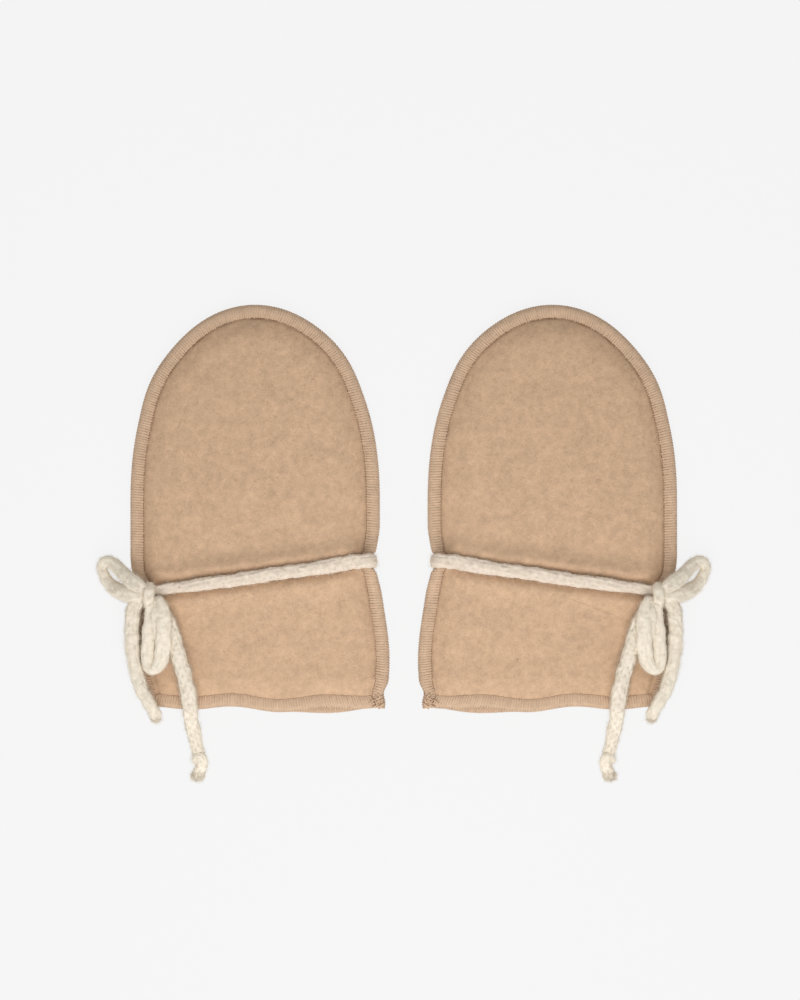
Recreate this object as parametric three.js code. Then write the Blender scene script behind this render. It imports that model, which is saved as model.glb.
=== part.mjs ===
// A pair of baby mittens in thick wool fleece, laid flat side by side on a surface, fingertips
// towards +Y. Each mitten is a back panel and a front panel overlocked together round the sides and
// the tip. The wrist edge of each panel is overlocked by itself, so the wrist is open. A knitted cord
// goes once round the wrist, over and under the mitten, and is tied in a bow at one side.
//
// Millimetres, +Z up, the surface at z = 0, the origin midway between the mittens. Everything is
// worked out in one mitten's own frame: x = 0 down its middle, the bow on the -x side. The second
// mitten is the first one mirrored.
import * as THREE from "three";

// Sizes of the cut panel
const PALM_WIDTH = 80.2;
const TIP_Y = 65;
const TIP_RISE = 64; // height of the rounded tip, above the straight sides
const TIP_POWER = { across: 2.0, up: 2.33 }; // both at 2 are an ellipse, more is squarer
const SHOULDER_REACH = 17;
const HEM_Y = -64;
const HEM_WAVE = 0.7;
const HEM_WAVE_LENGTH = 29;
const HEM_WAVE_LOW_AT = -21;
const HEM_SAG = { by: 0.8, at: 10, reach: 36 };
const LIP = { at: 23, reach: 16, out: 2.05, lift: 1.0 }; // where the wrist gapes a little
const CORNER = { from: -46, span: 22 };
const PAIR_SPACING = 95.4; // between the middles of the two mittens

// The two sides of a mitten. The cuff flares, the rounded tip is fuller at its shoulder, and the tied
// cord draws each side in where it turns round the edge: a broad pinch, and a sharper notch right
// under the cord.
const SIDES = {
  bow: {
    sign: -1,
    flare: { by: -0.5, at: -44, reach: 24 },
    cornerIn: 5.6,
    shoulder: { by: 0.7, at: 41 },
    cordAt: -27.4,
    pinch: 1.8,
    notch: 1.6,
  },
  far: {
    sign: 1,
    flare: { by: 3.1, at: -49, reach: 34 },
    cornerIn: 0,
    shoulder: { by: 0.7, at: 50 },
    cordAt: -16.9,
    pinch: 1.4,
    notch: 2.3,
  },
};
const PINCH_REACH = 13;
const NOTCH_REACH = 5.2;

// Cloth and overlock thread
const WALL = 2.8;
const EDGE_WALL = 1.35; // the fleece where the overlock squeezes it
const PRESSED_WALL = 1.6; // the fleece under the tied cord
const GAP = 0.3; // between pieces that touch
const PALM_GAP = 1.2; // between the panels at the middle of the palm
const WRIST_GAP = 1.7; // between the two hems, with the overlock thread between them
const THREAD = 0.5;
const INNER_THREAD = 0.25; // overlock thread on the inside of a hem
const SEAM_WIDTH = 4.3; // from the outer edge to the overlock's needle line
const CLOTH_EDGE = THREAD + GAP; // the cut edge of the fleece lies this far inside the overlock
const GROOVE = { depth: 0.28, reach: 1.2 }; // along the needle line
const FREE_EDGE = { groove: 3, rim: 4.6 }; // how soon the groove and the rim end beside a seam
const PADDING = { fromSide: 7, fromHem: 6 }; // how far in from the seams the fleece is full thickness
const AIR = { fromSide: 14, fromHem: 14 }; // how far in the air between the panels settles
const GAPE_REACH = 16; // how far in from the hem the wrist gapes

// Cord
const CORD_LIFT = 2.7; // how far the cord underneath lifts the back panel
const CORD_LIFT_REACH = 12;
const CORD_PRESS_REACH = 6;
const CORD_CLEAR = 0.55; // from the cord down to the bottom of the trough it presses

// How finely the shapes are divided. The rings of a panel turn the corner to the hem below
// TURN_BELOW, and the innermost ring closes in on a spine down the middle, which sags at the wrist.
const PINCH_SPAN = 9;
const STEPS = { cuff: 7, pinch: 8, side: 4, tip: 18 };
const CUFF_CROWDING = 1.6;
const HEM_SHARES = [0.02, 0.055, 0.12, 0.23, 0.36, 0.5, 0.64, 0.77, 0.88, 0.945, 0.98];
const TURN_BELOW = -20;
const SPINE = { top: 26, bottom: -30, sag: 5, sagReach: 24 };
const CORD_SIDES = 8;
const CORD_STEP = 2.3;

// The knitted cord. Each stretch runs from or to the knot of the bow, by its centreline and its
// width there. It is narrower where the knot squeezes it.
const KNOT = { x: -32.9, y: -27.4, z: 10.4, halfX: 3.7, halfY: 3.9, halfZ: 2.8, segments: 12, rows: 8 };
const BOW = {
  bow_loop_upper: [
    { x: -36.9, y: -24.3, z: 11.6, wide: 2.7 },
    { x: -38.6, y: -23.4, z: 10.8, wide: 4.0 },
    { x: -41.4, y: -21.3, z: 8.2, wide: 4.4 },
    { x: -44.3, y: -18.9, z: 5.7, wide: 4.4 },
    { x: -46.5, y: -17.3, z: 4.1, wide: 4.0 },
    { x: -48.2, y: -18.1, z: 3.3, wide: 3.9 },
    { x: -48.7, y: -19.9, z: 3.0, wide: 3.8 },
    { x: -47.9, y: -22.0, z: 2.9, wide: 4.0 },
    { x: -44.9, y: -25.6, z: 4.2, wide: 4.4 },
    { x: -42.7, y: -26.7, z: 7.4, wide: 4.3 },
    { x: -39.8, y: -27.9, z: 10.0, wide: 4.0 },
    { x: -37.6, y: -28.4, z: 11.0, wide: 2.7 },
  ],
  bow_loop_lower: [
    { x: -32.6, y: -32.6, z: 10.5, wide: 2.6 },
    { x: -32.7, y: -37.1, z: 9.2, wide: 4.1 },
    { x: -33.1, y: -41.2, z: 7.8, wide: 4.4 },
    { x: -34.0, y: -44.7, z: 7.3, wide: 4.4 },
    { x: -34.2, y: -47.6, z: 7.3, wide: 4.4 },
    { x: -33.7, y: -50.1, z: 7.4, wide: 4.4 },
    { x: -32.2, y: -51.4, z: 7.7, wide: 4.4 },
    { x: -30.5, y: -50.4, z: 8.5, wide: 4.4 },
    { x: -29.3, y: -47.8, z: 9.9, wide: 4.4 },
    { x: -28.9, y: -44.0, z: 11.8, wide: 4.3 },
    { x: -28.9, y: -40.0, z: 13.0, wide: 4.0 },
    { x: -28.9, y: -36.4, z: 13.3, wide: 3.7 },
    { x: -29.4, y: -33.2, z: 12.8, wide: 3.1 },
    { x: -30.0, y: -31.2, z: 12.2, wide: 2.6 },
  ],
  tail_short: [
    { x: -38.5, y: -32.2, z: 8.6, wide: 2.8 },
    { x: -39.2, y: -34.6, z: 8.6, wide: 4.0 },
    { x: -39.5, y: -38.6, z: 8.0, wide: 4.4 },
    { x: -39.3, y: -44.8, z: 7.6, wide: 4.4 },
    { x: -38.4, y: -51.5, z: 7.6, wide: 4.4 },
    { x: -36.5, y: -58.4, z: 8.4, wide: 4.4 },
    { x: -34.3, y: -62.8, z: 8.7, wide: 4.4 },
    { x: -32.4, y: -66.1, z: 8.0, wide: 4.1 },
    { x: -31.3, y: -68.3, z: 7.2, wide: 3.7 },
  ],
  tail_long: [
    { x: -30.0, y: -31.2, z: 9.3, wide: 2.9 },
    { x: -28.5, y: -34.2, z: 9.2, wide: 3.7 },
    { x: -27.1, y: -38.4, z: 9.1, wide: 4.2 },
    { x: -24.8, y: -45.0, z: 9.2, wide: 4.4 },
    { x: -22.8, y: -51.2, z: 9.5, wide: 4.4 },
    { x: -21.2, y: -57.6, z: 9.3, wide: 4.4 },
    { x: -20.4, y: -64.0, z: 8.3, wide: 4.4 },
    { x: -19.6, y: -69.5, z: 5.8, wide: 4.4 },
    { x: -18.8, y: -74.5, z: 3.2, wide: 4.4 },
    { x: -18.1, y: -78.2, z: 2.5, wide: 3.6 },
  ],
  tail_end_knot: [
    { x: -17.9, y: -79.0, z: 2.4, wide: 2.6 },
    { x: -17.1, y: -80.6, z: 2.5, wide: 4.4 },
    { x: -16.9, y: -82.0, z: 2.5, wide: 4.4 },
    { x: -17.4, y: -83.6, z: 2.0, wide: 2.9 },
    { x: -18.2, y: -85.6, z: 2.1, wide: 3.9 },
    { x: -18.5, y: -87.6, z: 2.0, wide: 3.6 },
  ],
};
// The stretch round the wrist: its half sizes across and through, at the knot, over the front, round
// the edges and underneath, and the places it is drawn through. Round an edge those are how far out
// from the drawn-in edge it lies, its height, and how much it has the section of the stretch below.
const BAND = {
  neck: { across: 1.45, through: 1.45 },
  over: { across: 2.1, through: 1.7 },
  edge: { across: 2.25, through: 1.3 },
  under: { across: 2.75, through: 1.2 },
  start: { x: -28.4, rise: 0.5 },
  neckLength: 11,
  thinsFrom: 22,
  thinsOver: 10,
  overXs: [-26, -22, -16, -9, -1, 8, 16, 23, 28.5, 32.5],
  underXs: [33, 25, 13, 0, -13, -25, -32.5],
  roundFar: [
    { out: -0.4, z: 9.2, lower: 0 },
    { out: 1.8, z: 7.6, lower: 0 },
    { out: 2.15, z: 5.0, lower: 0 },
    { out: 1.75, z: 2.6, lower: 0.2 },
    { out: -0.4, z: 1.35, lower: 0.7 },
  ],
  roundBow: [
    { out: -0.4, z: 1.35, lower: 0.7 },
    { out: 1.7, z: 2.6, lower: 0.2 },
    { out: 2.2, z: 5.0, lower: 0 },
    { out: 1.8, z: 6.7, lower: 0 },
  ],
};

const lerp = THREE.MathUtils.lerp;
const clamp01 = (u) => THREE.MathUtils.clamp(u, 0, 1);
const smooth = (u) => THREE.MathUtils.smoothstep(u, 0, 1);
// A bump of height 1 at u = 0 that is exactly 0 from |u| = 1 on.
const bump = (u) => Math.pow(clamp01(1 - u * u), 3);
// Rises steeply from 0 and levels off at 1, as padding does beside a seam.
const pillow = (inset, reach) => 1 - Math.pow(1 - clamp01((inset - SEAM_WIDTH) / reach), 2.2);

// Outline of the cut panel

const TIP_BASE = TIP_Y - TIP_RISE;

function halfWidth(side, y) {
  const flare = side.flare.by * bump((y - side.flare.at) / side.flare.reach);
  const corner = side.cornerIn * smooth((CORNER.from - y) / CORNER.span);
  return PALM_WIDTH / 2 + flare - corner;
}

function sideInset(x, y) {
  return Math.min(x + halfWidth(SIDES.bow, y), halfWidth(SIDES.far, y) - x);
}

function hemLine(x, layer) {
  const fade = 1 - Math.pow(clamp01(Math.abs(x) / (PALM_WIDTH / 2)), 4);
  const wave = -HEM_WAVE * Math.cos((2 * Math.PI * (x - HEM_WAVE_LOW_AT)) / HEM_WAVE_LENGTH);
  const sag = HEM_SAG.by * bump((x - HEM_SAG.at) / HEM_SAG.reach);
  const lip = layer === "back" ? LIP.out * bump((x - LIP.at) / LIP.reach) : 0;
  return HEM_Y + wave * fade - sag - lip;
}

// The edge from the wrist corner at the bow (t = 0), up that side to t = 1, over the tip to t = 2,
// and down the other side to t = 3.
function edgePoint(t) {
  if (t <= 1 || t >= 2) {
    const side = t <= 1 ? SIDES.bow : SIDES.far;
    const y = lerp(HEM_Y, TIP_BASE, t <= 1 ? t : 3 - t);
    return new THREE.Vector2(side.sign * halfWidth(side, y), y);
  }
  const angle = Math.PI * (2 - t);
  const side = t < 1.5 ? SIDES.bow : SIDES.far;
  const y = TIP_BASE + TIP_RISE * Math.pow(Math.abs(Math.sin(angle)), 2 / TIP_POWER.up);
  const around = (PALM_WIDTH / 2) * Math.pow(Math.abs(Math.cos(angle)), 2 / TIP_POWER.across);
  const shoulder = side.shoulder.by * bump((y - side.shoulder.at) / SHOULDER_REACH);
  return new THREE.Vector2(side.sign * (around + shoulder), y);
}

function inward(t) {
  const step = 1e-3;
  const along = edgePoint(Math.min(3, t + step)).sub(edgePoint(Math.max(0, t - step))).normalize();
  return new THREE.Vector2(along.y, -along.x);
}

// Stations along the edge, closer together at the wrist and where the cord draws it in.
function spread(from, to, steps, power = 1) {
  return Array.from({ length: steps }, (_, i) => lerp(from, to, Math.pow(i / steps, power)));
}

function sideStations(side) {
  const toT = (y) => (y - HEM_Y) / (TIP_BASE - HEM_Y);
  return [
    ...spread(HEM_Y, side.cordAt - PINCH_SPAN, STEPS.cuff, CUFF_CROWDING),
    ...spread(side.cordAt - PINCH_SPAN, side.cordAt + PINCH_SPAN, STEPS.pinch),
    ...spread(side.cordAt + PINCH_SPAN, TIP_BASE, STEPS.side),
  ].map(toT);
}

const STATIONS = [
  ...sideStations(SIDES.bow),
  ...spread(1, 2, STEPS.tip),
  2,
  ...sideStations(SIDES.far).map((t) => 3 - t).reverse(),
];

// A place on a panel in the flat cut, with its distances in from the side seam and from the hem.
function straightPlace(t, inset, layer = "front") {
  const { x, y } = edgePoint(t).addScaledVector(inward(t), inset);
  return { x, y, side: inset, hem: y - hemLine(x, layer) };
}

// The same for a panel's rings, whose lower ends turn the corner above the hem.
function sidePlace(t, inset, layer) {
  const place = straightPlace(t, inset, layer);
  const rise = inset * clamp01((TURN_BELOW - place.y) / (TURN_BELOW - HEM_Y));
  return { ...place, y: place.y + rise, hem: place.hem + rise };
}

function hemPlace(share, inset, layer) {
  const x = lerp(sidePlace(3, inset, layer).x, sidePlace(0, inset, layer).x, share);
  const y = hemLine(x, layer) + inset;
  return { x, y, side: sideInset(x, y), hem: inset };
}

// How the cord draws the cloth in

const BOW_HALF = halfWidth(SIDES.bow, SIDES.bow.cordAt);
const FAR_HALF = halfWidth(SIDES.far, SIDES.far.cordAt);
const CORD_SLOPE = (SIDES.far.cordAt - SIDES.bow.cordAt) / (FAR_HALF + BOW_HALF);
const CORD_MIDDLE_Y = SIDES.bow.cordAt + CORD_SLOPE * BOW_HALF;
const CORD_ACROSS = new THREE.Vector3(-CORD_SLOPE, 1, 0).normalize();

function fromCord(x, y) {
  return (y - CORD_MIDDLE_Y - CORD_SLOPE * x) / Math.hypot(1, CORD_SLOPE);
}

function drawnIn(place) {
  const side = place.x < 0 ? SIDES.bow : SIDES.far;
  const from = place.y - side.cordAt;
  const amount = side.pinch * bump(from / PINCH_REACH) + side.notch * bump(from / NOTCH_REACH);
  const share = Math.pow(Math.abs(place.x) / (PALM_WIDTH / 2), 3);
  return { ...place, x: place.x - side.sign * amount * share };
}

// Heights of the four cloth faces at a place

function heights(place) {
  const { x, y, side, hem } = drawnIn(place);
  const q = fromCord(x, y);
  const press = bump(q / CORD_PRESS_REACH);
  const full = pillow(side, PADDING.fromSide) * pillow(hem, PADDING.fromHem);
  const wall = lerp(EDGE_WALL, WALL, full);
  const sideGroove = bump((side - SEAM_WIDTH) / GROOVE.reach);
  const hemGroove = bump((hem - SEAM_WIDTH) / GROOVE.reach) * pillow(side, FREE_EDGE.groove);
  const groove = GROOVE.depth * Math.max(sideGroove, hemGroove);
  const thick = lerp(wall, Math.min(wall, PRESSED_WALL), press) - groove;
  const palmAir = (PALM_GAP - GAP) * pillow(side, AIR.fromSide);
  const air = lerp(WRIST_GAP - GAP, palmAir, smooth((hem - SEAM_WIDTH) / AIR.fromHem));
  const gape = LIP.lift * bump((x - LIP.at) / LIP.reach) * bump(hem / GAPE_REACH);
  const between = GAP + air * (1 - press) + gape;
  const rim = CLOTH_EDGE * (1 - pillow(side, FREE_EDGE.rim) * pillow(hem, FREE_EDGE.rim));
  const backUnder = rim + CORD_LIFT * bump(q / CORD_LIFT_REACH) + groove;
  const backOver = backUnder + thick;
  const frontUnder = backOver + between;
  return { backUnder, backOver, frontUnder, frontOver: frontUnder + thick, x, y };
}

// Solids

// A closed solid through rings of the same even number of points. Each end is closed by joining the
// points of its ring in pairs across it, the first with the last and so on inwards.
function loft(rings) {
  const count = rings[0].length;
  const triangles = [];
  const quad = (a, b, c, d) => triangles.push(a, b, c, a, c, d);
  for (let r = 0; r + 1 < rings.length; r++)
    for (let i = 0; i < count; i++) {
      const next = (i + 1) % count;
      quad(r * count + i, r * count + next, (r + 1) * count + next, (r + 1) * count + i);
    }
  const last = (rings.length - 1) * count;
  for (let i = 0; i + 1 < count / 2; i++) {
    quad(count - 1 - i, count - 2 - i, i + 1, i);
    quad(last + i, last + i + 1, last + count - 2 - i, last + count - 1 - i);
  }
  return closedGeometry(rings.flat(), triangles);
}

function closedGeometry(points, triangles) {
  const at = (i) => points[triangles[i]];
  let volume = 0;
  for (let i = 0; i < triangles.length; i += 3) volume += at(i).dot(at(i + 1).clone().cross(at(i + 2)));
  if (volume < 0) triangles.reverse();
  const geometry = new THREE.BufferGeometry().setFromPoints(points);
  geometry.setIndex(triangles);
  geometry.computeVertexNormals();
  return geometry;
}

// One ring of a panel at an inset from its edge, started at the middle of the hem so that the ends
// of the loft are closed across the panel.
function panelRing(inset, layer, height, towardsMiddle = 0) {
  const places = STATIONS.map((t) => sidePlace(t, inset, layer));
  places.push(...HEM_SHARES.map((share) => hemPlace(share, inset, layer)));
  const half = Math.floor(HEM_SHARES.length / 2);
  const ring = [...places.slice(-half), ...places.slice(0, -half)];
  return ring.map((place) => {
    const spineY = THREE.MathUtils.clamp(place.y, SPINE.bottom, SPINE.top);
    const central = 1 - clamp01(Math.abs(place.x) / SPINE.sagReach) ** 2;
    const sag = place.y < SPINE.bottom ? SPINE.sag * central : 0;
    const inner = {
      x: lerp(place.x, 0, towardsMiddle),
      y: lerp(place.y, spineY, towardsMiddle) - sag * towardsMiddle,
      side: place.side + Math.abs(place.x) * towardsMiddle,
      hem: place.hem + (spineY - place.y) * towardsMiddle,
    };
    const faces = heights(inner);
    return new THREE.Vector3(faces.x, faces.y, height(faces));
  });
}

// The cut edge of the fleece is rounded: the outer face starts this share of the wall up.
const EDGE_ROUND = [
  { inset: CLOTH_EDGE, share: 0.6 },
  { inset: 1.7, share: 0.95 },
  { inset: 3.0, share: 1 },
];
const OUTER_INSETS = [SEAM_WIDTH, 6, 9, 13.5, 20];
const INNER_INSETS = [CLOTH_EDGE, SEAM_WIDTH, 10, 20];
const LAST_RING = { inset: 20, towardsMiddle: 0.55 };

function panel(layer) {
  const [inner, outer] = layer === "back" ? ["backOver", "backUnder"] : ["frontUnder", "frontOver"];
  const face = (name) => (faces) => faces[name];
  const rounded = (share) => (faces) => lerp(faces[inner], faces[outer], share);
  return loft([
    panelRing(LAST_RING.inset, layer, face(outer), LAST_RING.towardsMiddle),
    ...OUTER_INSETS.toReversed().map((inset) => panelRing(inset, layer, face(outer))),
    ...EDGE_ROUND.toReversed().map(({ inset, share }) => panelRing(inset, layer, rounded(share))),
    ...INNER_INSETS.map((inset) => panelRing(inset, layer, face(inner))),
    panelRing(LAST_RING.inset, layer, face(inner), LAST_RING.towardsMiddle),
  ]);
}

// The overlock round an edge is a thin C of thread, open towards the cloth. It is worked out for the
// face above and the face below the edge: the cloth face it lies on, how thick the thread is there
// and how far the cloth's corner is rounded off. Each row is a point of the outer line of the C and
// the point of the inner line across from it, as inset from the edge and height over that face.
const NEEDLE_LINE = { inset: SEAM_WIDTH - 0.2, thread: 0.25 };
function overlockRows({ thread, rounded }) {
  const bend = GAP - 0.3 * rounded;
  const edge = GAP - 0.2 - rounded;
  return [
    { outer: [NEEDLE_LINE.inset, GAP + NEEDLE_LINE.thread], inner: [NEEDLE_LINE.inset, GAP] },
    { outer: [2.4, GAP + thread], inner: [2.4, GAP] },
    { outer: [0.7, bend + 0.6 * thread], inner: [1.1, bend] },
    { outer: [0, edge - 0.2 * rounded], inner: [THREAD, edge] },
  ];
}

function overlockSection(placeAt, below, above) {
  const line = (name) => {
    const point = ([inset, out], { face }, up) => {
      const faces = heights(placeAt(inset));
      return new THREE.Vector3(faces.x, faces.y, faces[face] + up * out);
    };
    const upper = overlockRows(above).map((row) => point(row[name], above, 1));
    const lower = overlockRows(below).map((row) => point(row[name], below, -1));
    return [...upper, ...lower.toReversed()];
  };
  return [...line("outer"), ...line("inner").toReversed()];
}

const OUTSIDE = { thread: THREAD, rounded: (1 - EDGE_ROUND[0].share) * EDGE_WALL };
const INSIDE = { thread: INNER_THREAD, rounded: 0 };

function sideOverlock() {
  const below = { ...OUTSIDE, face: "backUnder" };
  const above = { ...OUTSIDE, face: "frontOver" };
  return loft(STATIONS.map((t) => overlockSection((inset) => straightPlace(t, inset), below, above)));
}

function hemOverlock(layer) {
  const below = layer === "back" ? { ...OUTSIDE, face: "backUnder" } : { ...INSIDE, face: "frontUnder" };
  const above = layer === "back" ? { ...INSIDE, face: "backOver" } : { ...OUTSIDE, face: "frontOver" };
  const ends = (SEAM_WIDTH + GAP) / (PALM_WIDTH - 2 * SIDES.bow.cornerIn); // clear of the side overlock
  const shares = [ends, ...HEM_SHARES.slice(2, -2), 1 - ends];
  const section = (share) => overlockSection((inset) => hemPlace(share, inset, layer), below, above);
  return loft(shares.map(section));
}

// Cord solids

// A tube through rings that face along its path. The width lies flat, as near as the path allows.
function tube(path) {
  const rings = path.map((stop, i) => {
    const before = path[Math.max(i - 1, 0)].at;
    const after = path[Math.min(i + 1, path.length - 1)].at;
    const along = after.clone().sub(before).normalize();
    const level = stop.level ? stop.level.clone() : new THREE.Vector3(-along.y, along.x, 0).normalize();
    const up = along.clone().cross(level).normalize();
    return Array.from({ length: CORD_SIDES }, (_, k) => {
      const angle = (2 * Math.PI * (k + 0.5)) / CORD_SIDES;
      const offset = level.clone().multiplyScalar(stop.across * Math.cos(angle));
      return stop.at.clone().add(offset).addScaledVector(up, stop.through * Math.sin(angle));
    });
  });
  return loft(rings);
}

// A free stretch of cord from its table, with rounded ends.
const CORD_FLATNESS = 0.97; // its thickness over its width
const ROUND_END = [
  { in: 0, scale: 0.45 },
  { in: 0.3, scale: 0.85 },
];

function cord(rows) {
  const points = rows.map((row) => new THREE.Vector3(row.x, row.y, row.z));
  const curve = new THREE.CatmullRomCurve3(points, false, "centripetal");
  const length = curve.getLength();
  const steps = Math.round(length / CORD_STEP);
  const stop = (u, scale = 1) => {
    const t = curve.getUtoTmapping(u);
    const place = t * (rows.length - 1);
    const row = Math.min(Math.floor(place), rows.length - 2);
    const half = (scale * lerp(rows[row].wide, rows[row + 1].wide, place - row)) / 2;
    return { at: curve.getPoint(t), across: half, through: half * CORD_FLATNESS };
  };
  const first = ROUND_END.map((end) => stop((end.in * rows[0].wide) / length, end.scale));
  const last = ROUND_END.map((end) => stop(1 - (end.in * rows.at(-1).wide) / length, end.scale));
  const between = Array.from({ length: steps - 1 }, (_, i) => stop((i + 1) / steps));
  return tube([...first, ...between, ...last.toReversed()]);
}

function blend(a, b, share) {
  return { across: lerp(a.across, b.across, share), through: lerp(a.through, b.through, share) };
}

// A stop of the band over or under the cloth, at x on the line of the cord before it is drawn in.
function bandStop(x, section, over) {
  const y = CORD_MIDDLE_Y + CORD_SLOPE * x;
  const faces = heights({ x, y, side: sideInset(x, y), hem: y - hemLine(x, "front") });
  const seam = (THREAD + GROOVE.depth) * (1 - pillow(sideInset(x, y), FREE_EDGE.groove));
  const z = over ? faces.frontOver + seam + CORD_CLEAR + section.through : section.through;
  return { at: new THREE.Vector3(faces.x, faces.y, z), level: CORD_ACROSS, ...section };
}

function bandTurn(side, { out, z, lower }) {
  const x = side.sign * (PALM_WIDTH / 2 - side.pinch - side.notch + out);
  const at = new THREE.Vector3(x, CORD_MIDDLE_Y + CORD_SLOPE * x, z);
  return { at, level: CORD_ACROSS, ...blend(BAND.edge, BAND.under, lower) };
}

function cordBand() {
  const { neck, over, edge, under, start } = BAND;
  const first = bandStop(start.x, neck, true);
  first.at.z += start.rise;
  const sectionOver = (x) => {
    const widened = blend(neck, over, smooth((x - start.x) / BAND.neckLength));
    return blend(widened, edge, smooth((x - BAND.thinsFrom) / BAND.thinsOver));
  };
  return tube([
    first,
    ...BAND.overXs.map((x) => bandStop(x, sectionOver(x), true)),
    ...BAND.roundFar.map((turn) => bandTurn(SIDES.far, turn)),
    ...BAND.underXs.map((x) => bandStop(x, under, false)),
    ...BAND.roundBow.map((turn) => bandTurn(SIDES.bow, turn)),
  ]);
}

function bowKnot() {
  const ball = new THREE.SphereGeometry(1, KNOT.segments, KNOT.rows);
  ball.scale(KNOT.halfX, KNOT.halfY, KNOT.halfZ);
  ball.translate(KNOT.x, KNOT.y, KNOT.z);
  return ball;
}

// One mitten

const CLOTH = new THREE.MeshStandardMaterial({ color: 0xc7a688, roughness: 0.95, metalness: 0 });
const OVERLOCK = new THREE.MeshStandardMaterial({ color: 0xc9ab90, roughness: 0.85, metalness: 0 });
const CORD = new THREE.MeshStandardMaterial({ color: 0xe6d6c5, roughness: 0.9, metalness: 0 });

function named(name, geometry, material) {
  const mesh = new THREE.Mesh(geometry, material);
  mesh.name = name;
  return mesh;
}

function mitten(name) {
  const group = new THREE.Group();
  group.add(named(`${name}_back_panel`, panel("back"), CLOTH));
  group.add(named(`${name}_front_panel`, panel("front"), CLOTH));
  group.add(named(`${name}_side_overlock`, sideOverlock(), OVERLOCK));
  group.add(named(`${name}_back_hem_overlock`, hemOverlock("back"), OVERLOCK));
  group.add(named(`${name}_front_hem_overlock`, hemOverlock("front"), OVERLOCK));
  group.add(named(`${name}_cord_band`, cordBand(), CORD));
  group.add(named(`${name}_bow_knot`, bowKnot(), CORD));
  for (const [piece, rows] of Object.entries(BOW)) group.add(named(`${name}_${piece}`, cord(rows), CORD));
  return group;
}

const pair = new THREE.Group();
const left = mitten("left");
left.position.x = -PAIR_SPACING / 2;
const right = mitten("right");
right.position.x = PAIR_SPACING / 2;
right.scale.x = -1;
pair.add(left, right);

export default pair;
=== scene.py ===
"""Looks of a pair of baby mittens in wool fleece, laid flat, with knitted cords tied round the wrists.

Millimetres in one mitten's own frame until a mesh is made: x = 0 down its middle, the bow on the -x
side, fingertips towards +y, the surface at z = 0. The right mitten is the left one mirrored.
"""

import math

import bpy
import numpy as np
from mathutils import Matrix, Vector


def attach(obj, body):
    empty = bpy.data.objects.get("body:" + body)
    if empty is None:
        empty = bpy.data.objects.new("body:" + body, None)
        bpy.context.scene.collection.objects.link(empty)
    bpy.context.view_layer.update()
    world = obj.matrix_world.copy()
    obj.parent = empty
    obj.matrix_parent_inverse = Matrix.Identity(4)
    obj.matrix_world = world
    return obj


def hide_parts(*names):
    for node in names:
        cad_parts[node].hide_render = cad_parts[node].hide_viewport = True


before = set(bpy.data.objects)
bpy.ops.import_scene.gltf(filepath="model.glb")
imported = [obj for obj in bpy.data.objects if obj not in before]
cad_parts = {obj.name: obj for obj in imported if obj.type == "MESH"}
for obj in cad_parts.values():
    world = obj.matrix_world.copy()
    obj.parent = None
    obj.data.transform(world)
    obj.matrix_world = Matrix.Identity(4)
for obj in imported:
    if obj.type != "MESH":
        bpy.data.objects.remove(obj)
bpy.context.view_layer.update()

# Sizes of the cut panel
PALM_HALF = 40.1
TIP_BASE, TIP_RISE, TIP_ACROSS, TIP_UP = 1.0, 64.3, 2.0, 2.33
HEM_Y, HEM_WAVE, HEM_WAVE_LENGTH, HEM_WAVE_LOW_AT = -64.0, 0.7, 29.0, -21.0
HEM_SAG, HEM_SAG_AT, HEM_SAG_REACH = 0.8, 10.0, 36.0
LIP_AT, LIP_REACH, LIP_OUT, LIP_LIFT, LIP_DEPTH = 23.0, 16.0, 2.05, 1.0, 16.0
CORNER_FROM, CORNER_SPAN = -46.0, 22.0
SHOULDER_REACH, PINCH_REACH = 17.0, 13.0
PAIR_SPACING = 95.4

# How steeply a pull on the edge fades across the cloth, and how round the cloth rises from a seam
PULL_POWER, EDGE_POWER, PILLOW_POWER = 3, 9, 2.2

# The two sides: what is cut wider or narrower, and what the cord pulls in
BOW = dict(
    sign=-1, cord=-27.4, corner=5.6,
    flare=-0.5, flare_at=-44, flare_reach=24,
    shoulder=0.7, shoulder_at=41,
    pinch=1.8, notch=1.6, notch_at=-27.4, notch_reach=5.2,
    folds=5, fold_turn=0.6,
)
FAR = dict(
    sign=1, cord=-16.9, corner=0.0,
    flare=3.1, flare_at=-49, flare_reach=34,
    shoulder=0.7, shoulder_at=50,
    pinch=1.4, notch=2.3, notch_at=-17.2, notch_reach=4.2,
    folds=6, fold_turn=1.9,
)
KNOT_PULL, KNOT_PULL_X, KNOT_PULL_Y, KNOT_PULL_REACH = 2.2, -34.5, -26.0, (7.5, 6.5)
TAIL_NOTCH, TAIL_NOTCH_AT, TAIL_NOTCH_REACH = 0.65, -59.3, 4.2

# Cloth, overlock and cord
WALL, EDGE_WALL, PRESSED_WALL, LEAST_WALL = 2.8, 1.35, 1.6, 0.9
FULL_FROM_SIDE, FULL_FROM_HEM = 7, 6
GAP, PALM_GAP, WRIST_GAP, GAP_REACH = 0.3, 1.2, 1.7, 14
THREAD, SEAM_WIDTH, CLOTH_EDGE, EDGE_REACH = 0.5, 4.3, 0.8, 4.6
GROOVE_DEPTH, GROOVE_REACH = 0.22, 1.1
CORD_LIFT, CORD_LIFT_REACH, CORD_PRESS_REACH, CORD_CLEAR = 2.7, 12.0, 6.0, 0.35

# Unevenness of the outer faces: height, size and place of each layer of waves
WAVE_LAYERS = [
    dict(high=0.22, size=21.0, shift=(0, 0)),
    dict(high=0.1, size=11.0, shift=(50, 0)),
    dict(high=0.05, size=4.6, shift=(0, 70)),
]
WAVE_ROOM, UNDERSIDE_SHARE = 0.28, 0.7
PUCKER_HIGH, PUCKER_AT, PUCKER_START, PUCKER_FADE = 0.75, 36.5, 5.0, 9.0

MM = 0.001


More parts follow.
